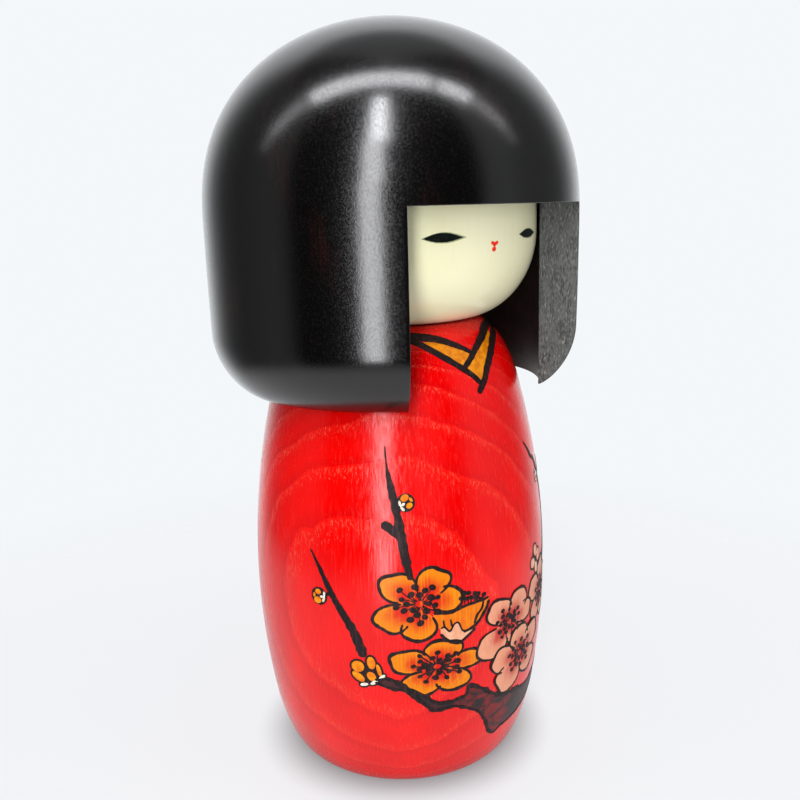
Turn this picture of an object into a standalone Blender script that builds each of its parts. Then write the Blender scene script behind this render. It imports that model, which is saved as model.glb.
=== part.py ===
"""Turned wooden kokeshi doll with a bobbed hair shell.

Four turned pieces stand on one vertical axis: a solid body, a face block, a hair shell that is bored
out to hold the face block and cut open in front of it, and a dowel on which the head turns.

Metres, +Z up. The origin is the middle of the flat base, and the face looks along -Y.
"""

from math import cos, pi, radians, sin, sqrt

import bmesh
import bpy

MM = 0.001
FULL_TURN = 2 * pi

# Pieces that rest against each other keep this gap.
GAP = 0.3 * MM

# Sides of a turned piece's circle.
TURNED_SIDES = 64

# Body: a bowed barrel, rounded in at the foot and over the shoulder.
BODY_TOP_Z = 147.4 * MM
BELLY_RADIUS = 49.5 * MM
BELLY_Z = 63.0 * MM
BODY_BOW = 2.06  # the side leaves the belly's radius by this, per metre, times its height squared
FOOT_Z = 20.0 * MM
FOOT_INSET = 4.6 * MM
SHOULDER_Z = 129.0 * MM
SHOULDER_INSET = 7.7 * MM

# Face block: a cylinder that ends in a flattened bowl, the chin, on top of the body.
FACE_RADIUS = 46.8 * MM
FACE_BOTTOM_Z = BODY_TOP_Z + GAP
CHIN_FLAT_RADIUS = 23.0 * MM
CHIN_START_Z = 175.2 * MM

# Hair shell: a dome on a short skirt that is rounded in to its rim.
CROWN_Z = 240.0 * MM
HAIR_RADIUS = 60.0 * MM
DOME_START_Z = 180.5 * MM
DOME_SQUARENESS = 2.31  # 2 would be a half sphere
SKIRT_TAPER = 0.30  # the skirt leaves the dome's radius by this, per metre, times its depth squared
SKIRT_ROUND_Z = 145.3 * MM
SKIRT_INSET = 10.9 * MM
SKIRT_SHARPNESS = 0.76  # 0.5 would be a quarter ellipse
RIM_Z = 125.9 * MM
BORE_RADIUS = 47.8 * MM
BORE_TOP_Z = 207.7 * MM
FACE_TOP_Z = BORE_TOP_Z - GAP

# Window in the hair shell: cut along two planes through the axis, up to the fringe.
WINDOW_HALF_ANGLE = radians(35.5)
FRINGE_Z = 183.3 * MM
WINDOW_REACH = 90.0 * MM
WINDOW_BELOW_RIM = 10.0 * MM

# Neck dowel: fast in the body, and the pin on which the head turns.
DOWEL_RADIUS = 8.0 * MM
DOWEL_LENGTH = 40.0 * MM
DOWEL_CHAMFER = 1.0 * MM
DOWEL_BOTTOM_Z = BODY_TOP_Z - DOWEL_LENGTH / 2
DOWEL_TOP_Z = DOWEL_BOTTOM_Z + DOWEL_LENGTH

# Colour, roughness of each piece's finish.
FINISHES = {
    "body": ((0.62, 0.012, 0.010), 0.35),
    "face_block": ((0.89, 0.85, 0.66), 0.25),
    "hair_shell": ((0.012, 0.008, 0.008), 0.30),
    "neck_dowel": ((0.55, 0.38, 0.22), 0.60),
}


def steps(count):
    """Fractions from 0 to 1 in the given number of equal steps."""
    return [i / count for i in range(count + 1)]


def quarter_drop(t, power=0.5):
    """How far a rounded corner has dropped: 0 and level at t = 0, 1 and upright at t = 1."""
    return 1 - max(0.0, 1 - t * t) ** power


def body_radius(z):
    radius = BELLY_RADIUS - BODY_BOW * (z - BELLY_Z) ** 2
    if z < FOOT_Z:
        radius -= FOOT_INSET * quarter_drop(1 - z / FOOT_Z)
    if z > SHOULDER_Z:
        radius -= SHOULDER_INSET * quarter_drop((z - SHOULDER_Z) / (BODY_TOP_Z - SHOULDER_Z))
    return radius


def face_radius(z):
    if z >= CHIN_START_Z:
        return FACE_RADIUS
    depth = (CHIN_START_Z - z) / (CHIN_START_Z - FACE_BOTTOM_Z)
    return FACE_RADIUS - (FACE_RADIUS - CHIN_FLAT_RADIUS) * quarter_drop(depth)


def hair_radius(z):
    if z >= DOME_START_Z:
        height = (z - DOME_START_Z) / (CROWN_Z - DOME_START_Z)
        return HAIR_RADIUS * sqrt(max(0.0, 1 - height**DOME_SQUARENESS))
    radius = HAIR_RADIUS - SKIRT_TAPER * (DOME_START_Z - z) ** 2
    if z < SKIRT_ROUND_Z:
        depth = (SKIRT_ROUND_Z - z) / (SKIRT_ROUND_Z - RIM_Z)
        radius -= SKIRT_INSET * quarter_drop(depth, SKIRT_SHARPNESS)
    return radius


def side(radius_at, heights):
    """Profile points down the outside of a piece."""
    return [(radius_at(z), z) for z in heights]


def arc_heights(z_level, z_end, count):
    """Heights that close up towards z_end, where the profile bends round."""
    return [z_level + (z_end - z_level) * sin(t * pi / 2) for t in steps(count)]


def even_heights(z_start, z_end, count):
    """Equally spaced heights, without the two ends."""
    return [z_start + (z_end - z_start) * t for t in steps(count)[1:-1]]


def body_profile():
    """From the neck socket's floor over the shoulder and down to the base."""
    socket_radius = DOWEL_RADIUS + GAP
    socket_floor_z = DOWEL_BOTTOM_Z - GAP
    shoulder = arc_heights(SHOULDER_Z, BODY_TOP_Z, 8)[::-1]
    foot = arc_heights(FOOT_Z, 0.0, 6)
    return [
        (0.0, socket_floor_z),
        (socket_radius, socket_floor_z),
        (socket_radius, BODY_TOP_Z),
        *side(body_radius, shoulder + even_heights(SHOULDER_Z, FOOT_Z, 12) + foot),
        (0.0, 0.0),
    ]


def face_profile():
    """From the hidden top down over the chin, and up the neck socket."""
    socket_radius = DOWEL_RADIUS + GAP
    socket_ceiling_z = DOWEL_TOP_Z + GAP
    chin = arc_heights(CHIN_START_Z, FACE_BOTTOM_Z, 14)
    return [
        (0.0, FACE_TOP_Z),
        (FACE_RADIUS, FACE_TOP_Z),
        *side(face_radius, chin),
        (socket_radius, FACE_BOTTOM_Z),
        (socket_radius, socket_ceiling_z),
        (0.0, socket_ceiling_z),
    ]


def hair_profile():
    """From the crown over the dome to the rim, and up the bore."""
    dome = arc_heights(DOME_START_Z, CROWN_Z, 18)[::-1]
    skirt = even_heights(DOME_START_Z, SKIRT_ROUND_Z, 3)
    rim = arc_heights(SKIRT_ROUND_Z, RIM_Z, 10)
    return [
        *side(hair_radius, dome + skirt + rim),
        (BORE_RADIUS, RIM_Z),
        (BORE_RADIUS, BORE_TOP_Z),
        (0.0, BORE_TOP_Z),
    ]


def dowel_profile():
    """From the top down, with a chamfer at both ends."""
    inner = DOWEL_RADIUS - DOWEL_CHAMFER
    return [
        (0.0, DOWEL_TOP_Z),
        (inner, DOWEL_TOP_Z),
        (DOWEL_RADIUS, DOWEL_TOP_Z - DOWEL_CHAMFER),
        (DOWEL_RADIUS, DOWEL_BOTTOM_Z + DOWEL_CHAMFER),
        (inner, DOWEL_BOTTOM_Z),
        (0.0, DOWEL_BOTTOM_Z),
    ]


def finish_material(name):
    colour, roughness = FINISHES[name]
    material = bpy.data.materials.new(name)
    material.use_nodes = True
    shader = material.node_tree.nodes["Principled BSDF"]
    shader.inputs["Base Color"].default_value = (*colour, 1.0)
    shader.inputs["Roughness"].default_value = roughness
    shader.inputs["Metallic"].default_value = 0.0
    return material


def add_object(name, mesh):
    piece = bpy.data.objects.new(name, mesh)
    bpy.context.scene.collection.objects.link(piece)
    return piece


def turned_piece(name, profile, origin_z):
    """A profile of (radius, height) points, turned about the Z axis."""
    mesh = bpy.data.meshes.new(name)
    points = [(radius, 0.0, z - origin_z) for radius, z in profile]
    mesh.from_pydata(points, [(i, i + 1) for i in range(len(points) - 1)], [])
    mesh.materials.append(finish_material(name))
    piece = add_object(name, mesh)
    piece.location.z = origin_z
    turning = piece.modifiers.new("turning", "SCREW")
    turning.axis = "Z"
    turning.angle = FULL_TURN
    turning.steps = TURNED_SIDES
    turning.render_steps = TURNED_SIDES
    turning.use_merge_vertices = True
    turning.merge_threshold = 0.01 * MM
    turning.use_smooth_shade = True
    return piece


def window_cutter():
    """A wedge that spreads from the axis towards -Y, from under the rim up to the fringe."""
    half_width = WINDOW_REACH * sin(WINDOW_HALF_ANGLE)
    front = -WINDOW_REACH * cos(WINDOW_HALF_ANGLE)
    outline = [(0.0, 0.0), (-half_width, front), (half_width, front)]
    form = bmesh.new()
    floor = form.faces.new([form.verts.new((x, y, RIM_Z - WINDOW_BELOW_RIM)) for x, y in outline])
    grown = bmesh.ops.extrude_face_region(form, geom=[floor])["geom"]
    top = [item for item in grown if isinstance(item, bmesh.types.BMVert)]
    bmesh.ops.translate(form, verts=top, vec=(0.0, 0.0, FRINGE_Z - RIM_Z + WINDOW_BELOW_RIM))
    bmesh.ops.recalc_face_normals(form, faces=form.faces)
    mesh = bpy.data.meshes.new("window_cutter")
    form.to_mesh(mesh)
    form.free()
    cutter = add_object("window_cutter", mesh)
    cutter.hide_render = True
    cutter.display_type = "WIRE"
    return cutter


def cut(piece, cutter):
    boolean = piece.modifiers.new("cut", "BOOLEAN")
    boolean.operation = "DIFFERENCE"
    boolean.solver = "EXACT"
    boolean.object = cutter


def head_turning_axis():
    """The empty that the head's two pieces hang from, on the dowel's axis."""
    empty = add_object("head_turning_axis", None)
    empty.location.z = FACE_BOTTOM_Z
    return empty


def put_under(piece, parent):
    piece.location.z -= parent.location.z
    piece.parent = parent


def main():
    for item in list(bpy.data.objects):
        bpy.data.objects.remove(item)

    turned_piece("body", body_profile(), 0.0)
    turned_piece("neck_dowel", dowel_profile(), DOWEL_BOTTOM_Z)

    axis = head_turning_axis()
    put_under(turned_piece("face_block", face_profile(), FACE_BOTTOM_Z), axis)
    hair = turned_piece("hair_shell", hair_profile(), RIM_Z)
    put_under(hair, axis)
    cut(hair, window_cutter())


main()
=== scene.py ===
"""Looks of the kokeshi doll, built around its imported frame.

Fine turned meshes stand for the body, the face block and the hair shell. The painting on them is
thin, closed coats that follow the surface. Paint is placed by angle round the doll, in degrees from
the front and growing towards the doll's left (+X), and by height above the base, in millimetres.
"""

import math
import random
from math import cos, pi, radians, sin, sqrt

import bpy
import numpy as np
from mathutils import Matrix, Vector, noise


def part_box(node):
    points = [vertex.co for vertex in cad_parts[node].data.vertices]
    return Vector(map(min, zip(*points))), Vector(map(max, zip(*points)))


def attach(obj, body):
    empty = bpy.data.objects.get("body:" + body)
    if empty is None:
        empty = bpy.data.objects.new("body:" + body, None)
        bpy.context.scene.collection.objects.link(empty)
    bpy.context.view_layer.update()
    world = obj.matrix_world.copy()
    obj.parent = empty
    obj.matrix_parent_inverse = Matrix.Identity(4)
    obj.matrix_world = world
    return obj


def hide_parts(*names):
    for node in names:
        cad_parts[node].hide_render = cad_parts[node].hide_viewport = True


MM = 0.001

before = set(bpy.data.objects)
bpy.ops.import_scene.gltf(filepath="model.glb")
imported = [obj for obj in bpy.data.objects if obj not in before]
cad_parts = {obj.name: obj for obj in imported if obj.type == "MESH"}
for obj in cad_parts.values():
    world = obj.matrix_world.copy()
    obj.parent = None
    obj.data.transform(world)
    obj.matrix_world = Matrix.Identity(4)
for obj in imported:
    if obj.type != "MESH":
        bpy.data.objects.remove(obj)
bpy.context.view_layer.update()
BODY_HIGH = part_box("body")[1]
FACE_LOW, FACE_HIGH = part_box("face_block")
HAIR_LOW, HAIR_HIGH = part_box("hair_shell")
DOWEL_LOW, DOWEL_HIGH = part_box("neck_dowel")

# Body, as in the CAD model
BELLY_RADIUS = BODY_HIGH.x
BODY_TOP_Z = BODY_HIGH.z
BELLY_Z = 63.0 * MM
BODY_BOW = 2.06
FOOT_Z = 20.0 * MM
FOOT_INSET = 4.6 * MM
SHOULDER_Z = 129.0 * MM
SHOULDER_INSET = 7.7 * MM

# Face block
FACE_RADIUS = FACE_HIGH.x
CHIN_FLAT_RADIUS = 23.0 * MM
CHIN_START_Z = 175.2 * MM

# Hair shell
HAIR_RADIUS = HAIR_HIGH.x
CROWN_Z = HAIR_HIGH.z
RIM_Z = HAIR_LOW.z
DOME_START_Z = 180.5 * MM
DOME_SQUARENESS = 2.31
SKIRT_TAPER = 0.30
SKIRT_ROUND_Z = 145.3 * MM
SKIRT_INSET = 10.9 * MM
SKIRT_SHARPNESS = 0.76
BORE_RADIUS = FACE_RADIUS + 1.0 * MM
BORE_TOP_Z = FACE_HIGH.z + 0.3 * MM
FRINGE_Z = 183.3 * MM
WINDOW_HALF_ANGLE = radians(35.5)

# Neck dowel and its sockets
SOCKET_RADIUS = DOWEL_HIGH.x + 0.3 * MM
SOCKET_FLOOR_Z = DOWEL_LOW.z - 0.3 * MM
SOCKET_CEILING_Z = DOWEL_HIGH.z + 0.3 * MM

# Camera: it stands on the doll's right of its front, a little above the eyes, and looks down.
VIEW_ANGLE = radians(39.76)
CAMERA_DISTANCE = 294.7 * MM
CAMERA_ASIDE = 1.27 * MM
CAMERA_Z = 183.5 * MM
CAMERA_PITCH = radians(12.34)
CAMERA_ROLL = radians(1.48)
CAMERA_LENS = 39.95
TO_CAMERA = Vector((-sin(VIEW_ANGLE), -cos(VIEW_ANGLE), 0.0))
CAMERA_RIGHT = Vector((cos(VIEW_ANGLE), -sin(VIEW_ANGLE), 0.0))
UP = Vector((0.0, 0.0, 1.0))


# ---------------------------------------------------------------- turned shapes


def quarter_drop(t, power=0.5):
    """How far a rounded corner has dropped: 0 and level at t = 0, 1 and upright at t = 1."""
    return 1 - max(0.0, 1 - t * t) ** power


def body_radius(z):
    radius = BELLY_RADIUS - BODY_BOW * (z - BELLY_Z) ** 2
    if z < FOOT_Z:
        radius -= FOOT_INSET * quarter_drop(1 - z / FOOT_Z)
    if z > SHOULDER_Z:
        radius -= SHOULDER_INSET * quarter_drop((z - SHOULDER_Z) / (BODY_TOP_Z - SHOULDER_Z))
    return radius


def face_radius(z):
    if z >= CHIN_START_Z:
        return FACE_RADIUS
    depth = (CHIN_START_Z - z) / (CHIN_START_Z - FACE_LOW.z)
    return FACE_RADIUS - (FACE_RADIUS - CHIN_FLAT_RADIUS) * quarter_drop(depth)


def hair_radius(z):
    if z >= DOME_START_Z:
        height = (z - DOME_START_Z) / (CROWN_Z - DOME_START_Z)
        return HAIR_RADIUS * sqrt(max(0.0, 1 - height**DOME_SQUARENESS))
    radius = HAIR_RADIUS - SKIRT_TAPER * (DOME_START_Z - z) ** 2
    if z < SKIRT_ROUND_Z:
        depth = (SKIRT_ROUND_Z - z) / (SKIRT_ROUND_Z - RIM_Z)
        radius -= SKIRT_INSET * quarter_drop(depth, SKIRT_SHARPNESS)
    return radius


def side(radius_at, heights):
    return [(radius_at(z), z) for z in heights]


def arc_heights(z_level, z_end, count):
    """Heights that close up towards z_end, where the profile bends round."""
    return [z_level + (z_end - z_level) * sin(i / count * pi / 2) for i in range(count + 1)]


def even_heights(z_start, z_end, count):
    """Equally spaced heights, without the two ends."""
    return [z_start + (z_end - z_start) * i / count for i in range(1, count)]


def add_piece(name, verts, faces, materials, face_materials=None):
    mesh = bpy.data.meshes.new(name)
    mesh.from_pydata([tuple(v) for v in verts], [], faces)
    for material in materials:
        mesh.materials.append(material)
    if face_materials is not None:
        mesh.polygons.foreach_set("material_index", face_materials)
    mesh.shade_smooth()
    piece = bpy.data.objects.new(name, mesh)
    bpy.context.scene.collection.objects.link(piece)
    return piece


def on_circle(radius, angle, z):
    """A point at an angle from the front, which grows towards +X."""
    return (radius * sin(angle), -radius * cos(angle), z)


def bridge(upper, lower):
    """Faces between two rings of a turned piece. A ring of one point is on the axis."""
    count = max(len(upper), len(lower))
    faces = []
    for i in range(count):
        j = (i + 1) % count
        if len(upper) == 1:
            faces.append((upper[0], lower[i], lower[j]))
        elif len(lower) == 1:
            faces.append((upper[i], lower[0], upper[j]))
        else:
            faces.append((upper[i], lower[i], lower[j], upper[j]))
    return faces


def add_ring(verts, radius, z, angles):
    start = len(verts)
    if radius < 1e-9:
        verts.append((0.0, 0.0, z))
    else:
        verts.extend(on_circle(radius, a, z) for a in angles)
    return list(range(start, len(verts)))


def turned_piece(name, profile, material, sides=240):
    """A profile from the axis down the outside and back to the axis, turned once round."""
    verts, faces = [], []
    angles = [2 * pi * i / sides for i in range(sides)]
    rings = [add_ring(verts, radius, z, angles) for radius, z in profile]
    for upper, lower in zip(rings, rings[1:]):
        faces.extend(bridge(upper, lower))
    piece = add_piece(name, verts, faces, [material])
    piece.data.set_sharp_from_angle(angle=radians(40))
    return piece


def eased(profile, corner, radius, steps=4):
    """The profile with one of its corners, a (radius, height) point, rounded off."""
    i = profile.index(corner)
    before = Vector(profile[i - 1]) - Vector(corner)
    after = Vector(profile[i + 1]) - Vector(corner)
    start = before.normalized() * radius
    end = after.normalized() * radius
    arc = []
    for k in range(steps + 1):
        t = k / steps
        offset = start * (1 - t) ** 2 + end * t**2
        arc.append((corner[0] + offset.x, corner[1] + offset.y))
    return profile[:i] + arc + profile[i + 1 :]


def body_profile():
    mouth = (SOCKET_RADIUS, BODY_TOP_Z)
    shoulder = arc_heights(SHOULDER_Z, BODY_TOP_Z, 16)[::-1]
    foot = arc_heights(FOOT_Z, 0.0, 14)
    heights = shoulder + even_heights(SHOULDER_Z, FOOT_Z, 56) + foot
    inside = [(0.0, SOCKET_FLOOR_Z), (SOCKET_RADIUS, SOCKET_FLOOR_Z), mouth]
    profile = inside + side(body_radius, heights) + [(0.0, 0.0)]
    return eased(profile, mouth, 0.6 * MM)


def face_profile():
    top_edge = (FACE_RADIUS, FACE_HIGH.z)
    chin = arc_heights(CHIN_START_Z, FACE_LOW.z, 40)
    profile = [
        (0.0, FACE_HIGH.z),
        top_edge,
        *side(face_radius, chin),
        (SOCKET_RADIUS, FACE_LOW.z),
        (SOCKET_RADIUS, SOCKET_CEILING_Z),
        (0.0, SOCKET_CEILING_Z),
    ]
    return eased(profile, top_edge, 0.8 * MM)


# ---------------------------------------------------------------- hair shell


def hair_piece(lacquer, sawn, bored):
    """The bored dome, with its window left open between the two sawn faces, up to the fringe."""
    window_steps, back_steps = 56, 232
    spread = 2 * WINDOW_HALF_ANGLE
    angles = [-WINDOW_HALF_ANGLE + spread * i / window_steps for i in range(window_steps)]
    angles += [
        WINDOW_HALF_ANGLE + (2 * pi - spread) * i / back_steps for i in range(back_steps)
    ]
    above = [z for z in arc_heights(DOME_START_Z, CROWN_Z, 60)[::-1] if z > FRINGE_Z + 0.5 * MM]
    below = even_heights(FRINGE_Z, SKIRT_ROUND_Z, 24)
    below += arc_heights(SKIRT_ROUND_Z, RIM_Z, 26)
    verts = []
    outside = [add_ring(verts, hair_radius(z), z, angles) for z in above + [FRINGE_Z] + below]
    fringe_out = len(above)
    bore = [add_ring(verts, BORE_RADIUS, z, angles) for z in (below[::-1] + [FRINGE_Z])]
    fringe_in = len(outside) + len(bore) - 1
    ceiling = [add_ring(verts, r, BORE_TOP_Z, angles) for r in (BORE_RADIUS, 0.0)]
    rings = outside + bore + ceiling
    faces, kinds = [], []

    def add(face, kind):
        faces.append(face)
        kinds.append(kind)

    for i, (upper, lower) in enumerate(zip(rings, rings[1:])):
        kind = 0 if i < len(outside) else 2
        open_here = fringe_out <= i < fringe_in
        for j, face in enumerate(bridge(upper, lower)):
            if not (open_here and j < window_steps):
                add(face, kind)
    top_out, top_in = rings[fringe_out], rings[fringe_in]
    for j in range(window_steps):
        add((top_out[j], top_in[j], top_in[j + 1], top_out[j + 1]), 1)
    for k in range(len(below)):
        outer, outer_next = rings[fringe_out + k], rings[fringe_out + k + 1]
        inner, inner_next = rings[fringe_in - k], rings[fringe_in - k - 1]
        for j, order in ((window_steps, 1), (0, -1)):
            add((outer[j], inner[j], inner_next[j], outer_next[j])[::order], 1)
    piece = add_piece("hair", verts, faces, [lacquer, sawn, bored], kinds)
    soften_window(piece)
    piece.data.set_sharp_from_angle(angle=radians(38))
    return piece


def soften_window(piece):
    """Rounds the window's long edges slightly, less where the wall runs out to the rim."""
    mesh = piece.data
    kinds = {}
    for face in mesh.polygons:
        for key in face.edge_keys:
            kinds.setdefault(key, []).append(face.material_index)
    weights = mesh.attributes.new("bevel_weight_edge", "FLOAT", "EDGE").data
    for edge in mesh.edges:
        found = kinds[edge.key]
        if 1 in found and (found[0] != found[1]):
            z = max(mesh.vertices[v].co.z for v in edge.vertices)
            wall = hair_radius(z) - BORE_RADIUS
            weights[edge.index].value = min(1.0, wall / (4 * MM))
    bevel = piece.modifiers.new("soft_edges", "BEVEL")
    bevel.limit_method = "WEIGHT"
    bevel.width = 0.32 * MM
    bevel.segments = 3
    bevel.use_clamp_overlap = False
    apply_modifiers(piece)


def apply_modifiers(piece):
    graph = bpy.context.evaluated_depsgraph_get()
    finished = bpy.data.meshes.new_from_object(piece.evaluated_get(graph))
    piece.modifiers.clear()
    old = piece.data
    piece.data = finished
    bpy.data.meshes.remove(old)


# ---------------------------------------------------------------- materials


class Nodes:
    """A node tree in the making, with short names for the nodes that it needs."""

    def __init__(self, tree):
        self.tree = tree

    def node(self, kind, **settings):
        node = self.tree.nodes.new(kind)
        for name, value in settings.items():
            setattr(node, name, value)
        return node

    def feed(self, socket, value):
        """Links the socket to another, or sets it to a plain value."""
        if isinstance(value, bpy.types.NodeSocket):
            self.tree.links.new(value, socket)
        elif isinstance(value, tuple) and len(value) == 3 and socket.type == "RGBA":
            socket.default_value = (*value, 1.0)
        else:
            socket.default_value = value

    def math(self, operation, a, b=0.0, c=0.0):
        node = self.node("ShaderNodeMath", operation=operation)
        for socket, value in zip(node.inputs, (a, b, c)):
            self.feed(socket, value)
        return node.outputs[0]

    def times(self, a, b):
        return self.math("MULTIPLY", a, b)

    def fade(self, value, low, high, to_low=0.0, to_high=1.0):
        """A smooth step from to_low, where value is at or under low, to to_high."""
        node = self.node("ShaderNodeMapRange", interpolation_type="SMOOTHSTEP")
        for socket, number in zip(node.inputs, (value, low, high, to_low, to_high)):
            self.feed(socket, number)
        return node.outputs[0]


class Finish(Nodes):
    """A material on the Principled shader. Patterns go by place on the object, in metres."""

    def __init__(self, name, colour, roughness, specular=0.5):
        self.material = bpy.data.materials.new(name)
        self.material.use_nodes = True
        super().__init__(self.material.node_tree)
        self.shader = self.tree.nodes["Principled BSDF"]
        self.colour(colour)
        self.roughness(roughness)
        self.put("Specular IOR Level", specular)
        self.position = self.node("ShaderNodeTexCoord").outputs["Object"]

    def put(self, name, value):
        self.feed(self.shader.inputs[name], value)

    def colour(self, value):
        self.put("Base Color", value)

    def roughness(self, value):
        self.put("Roughness", value)

    def mix(self, factor, a, b):
        node = self.node("ShaderNodeMix", data_type="RGBA")
        self.feed(node.inputs["Factor"], factor)
        self.feed(node.inputs[6], a)
        self.feed(node.inputs[7], b)
        return node.outputs[2]

    def tint(self, colour, other, value, low, high, most=1.0):
        """The colour, and as value goes from low to high up to this much of the other one."""
        return self.mix(self.fade(value, low, high, 0.0, most), colour, other)

    def noise(self, scale, detail=2.0, roughness=0.5, upright=1.0, level=1.0, distortion=0.0):
        """Noise with scale features to the metre, times upright along z and times level across."""
        place = self.position
        if (upright, level) != (1.0, 1.0):
            scaled = self.node("ShaderNodeVectorMath", operation="MULTIPLY")
            self.feed(scaled.inputs[0], place)
            self.feed(scaled.inputs[1], (level, level, upright))
            place = scaled.outputs[0]
        node = self.node("ShaderNodeTexNoise")
        names = ("Vector", "Scale", "Detail", "Roughness", "Distortion")
        for name, value in zip(names, (place, scale, detail, roughness, distortion)):
            self.feed(node.inputs[name], value)
        return node.outputs["Fac"]

    def place(self):
        """The x, y and z of a point on the object."""
        node = self.node("ShaderNodeSeparateXYZ")
        self.feed(node.inputs[0], self.position)
        return node.outputs

    def distance(self, centre=(0.0, 0.0)):
        """How far a point is from an upright line."""
        x, y, _ = self.place()
        dx = self.math("SUBTRACT", x, centre[0])
        dy = self.math("SUBTRACT", y, centre[1])
        squares = self.math("ADD", self.times(dx, dx), self.times(dy, dy))
        return self.math("SQRT", squares)

    def attribute(self, name):
        return self.node("ShaderNodeAttribute", attribute_name=name).outputs["Fac"]

    def relief(self, height, distance, strength):
        node = self.node("ShaderNodeBump")
        node.inputs["Strength"].default_value = strength
        node.inputs["Distance"].default_value = distance
        self.feed(node.inputs["Height"], height)
        self.put("Normal", node.outputs[0])


def srgb(red, green, blue):
    """A colour given as a screen shows it, from 0 to 255."""
    return tuple(
        c / 12.92 if c <= 0.04045 else ((c + 0.055) / 1.055) ** 2.4
        for c in (red / 255, green / 255, blue / 255)
    )


# The body's wood: ring-porous, its pith a little behind the turning axis.
PITH = Vector((sin(radians(135)), -cos(radians(135)), 0.0)) * (10.0 * MM)
RING_WIDTH = 2.5 * MM
RING_PHASE = 0.45
RING_WANDER = 3.0 * MM
RING_RIPPLE = 0.35 * MM


def ring_position(finish):
    """0 at the start of each growth ring, where its row of pores is, to 1 at its end."""
    distance = finish.distance(PITH)
    wander = finish.noise(26.0, 2.0, 0.45, upright=0.55)
    ripple = finish.noise(260.0, 1.0, upright=0.15)
    shift = finish.math("MULTIPLY_ADD", wander, RING_WANDER, distance)
    shift = finish.math("MULTIPLY_ADD", ripple, RING_RIPPLE, shift)
    turns = finish.math("MULTIPLY_ADD", shift, 1 / RING_WIDTH, RING_PHASE)
    return finish.math("FRACT", turns)


def pores(finish, ring):
    """Short upright open pores, crowded at the start of each ring."""
    grains = finish.noise(3300.0, 1.0, upright=0.14)
    patches = finish.noise(150.0, 1.0, upright=0.3)
    begun, ending = finish.fade(ring, 0.0, 0.07), finish.fade(ring, 0.02, 0.48, 1.0, 0.0)
    crowd = finish.times(begun, ending)
    level = finish.math("MULTIPLY_ADD", crowd, -0.19, 0.78)
    level = finish.math("MULTIPLY_ADD", patches, -0.08, level)
    over = finish.math("SUBTRACT", grains, level)
    return finish.fade(over, 0.0, 0.07)


def streaks(finish):
    """Fine upright fibres."""
    return finish.noise(1500.0, 2.0, 0.6, upright=0.025)


def stained_wood():
    finish = Finish("stained_wood", srgb(220, 0, 0), 0.22, specular=0.35)
    ring = ring_position(finish)
    pore = pores(finish, ring)
    fibre = streaks(finish)
    clouds = finish.noise(45.0, upright=0.5)
    red = finish.tint(srgb(212, 0, 1), srgb(228, 3, 1), clouds, 0.35, 0.7)
    late = finish.fade(ring, 0.70, 1.0)
    red = finish.mix(finish.times(late, 0.30), red, srgb(178, 0, 6))
    early = finish.fade(ring, 0.0, 0.36, 1.0, 0.0)
    red = finish.mix(finish.times(early, 0.16), red, srgb(240, 38, 22))
    red = finish.tint(red, srgb(240, 48, 30), fibre, 0.50, 0.78, 0.10)
    red = finish.mix(finish.times(pore, 0.31), red, srgb(246, 112, 76))
    finish.colour(red)
    finish.roughness(finish.fade(fibre, 0.35, 0.7, 0.14, 0.30))
    open_grain = finish.times(fibre, finish.fade(ring, 0.1, 0.7, 1.3, 0.35))
    finish.relief(finish.math("MULTIPLY_ADD", pore, -0.4, open_grain), 0.08 * MM, 0.75)
    return finish.material


def petal_paint(name, edge, middle, heart, fibre_tint, heart_reach):
    """Thin paint that shows the fibres under it and turns red towards the blossom's centre."""
    finish = Finish(name, edge, 0.34, specular=0.22)
    bloom = finish.attribute("bloom")
    fibre = streaks(finish)
    pore = pores(finish, ring_position(finish))
    uneven = finish.noise(420.0)
    spread = finish.math("MULTIPLY_ADD", uneven, 0.22, finish.math("SUBTRACT", bloom, 0.11))
    colour = finish.tint(middle, edge, spread, 0.45, 0.95)
    colour = finish.mix(finish.fade(spread, *heart_reach, 1.0, 0.0), colour, heart)
    colour = finish.tint(colour, fibre_tint, fibre, 0.48, 0.74, 0.34)
    colour = finish.mix(finish.times(pore, 0.4), colour, fibre_tint)
    finish.colour(colour)
    finish.relief(finish.math("SUBTRACT", fibre, pore), 0.05 * MM, 0.5)
    return finish.material


def ink():
    """The burnt and brushed outline: near black, with brown and grey breaks."""
    finish = Finish("outline_ink", srgb(16, 9, 10), 0.5, specular=0.22)
    blots = finish.noise(900.0, 3.0, 0.6)
    colour = finish.tint(srgb(14, 7, 9), srgb(52, 20, 22), blots, 0.45, 0.75)
    finish.colour(finish.tint(colour, srgb(84, 56, 56), streaks(finish), 0.50, 0.72, 0.35))
    finish.relief(blots, 0.06 * MM, 0.6)
    return finish.material


def bark():
    """The branch's filling: dark, and red in the middle of its length."""
    finish = Finish("branch_bark", srgb(60, 22, 22), 0.45, specular=0.28)
    blots = finish.noise(190.0, 4.0, 0.62, upright=1.8, distortion=0.6)
    x = finish.place()[0]
    left = finish.fade(x, -22 * MM, -10 * MM, 0.25, 1.0)
    right = finish.fade(x, 2 * MM, 10 * MM, 1.0, 0.12)
    middle = finish.times(left, right)
    reddened = finish.times(middle, finish.fade(blots, 0.40, 0.62))
    colour = finish.mix(reddened, srgb(34, 22, 25), srgb(122, 16, 18))
    finish.colour(finish.tint(colour, srgb(64, 48, 50), streaks(finish), 0.50, 0.75, 0.4))
    finish.relief(blots, 0.08 * MM, 0.5)
    return finish.material


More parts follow.
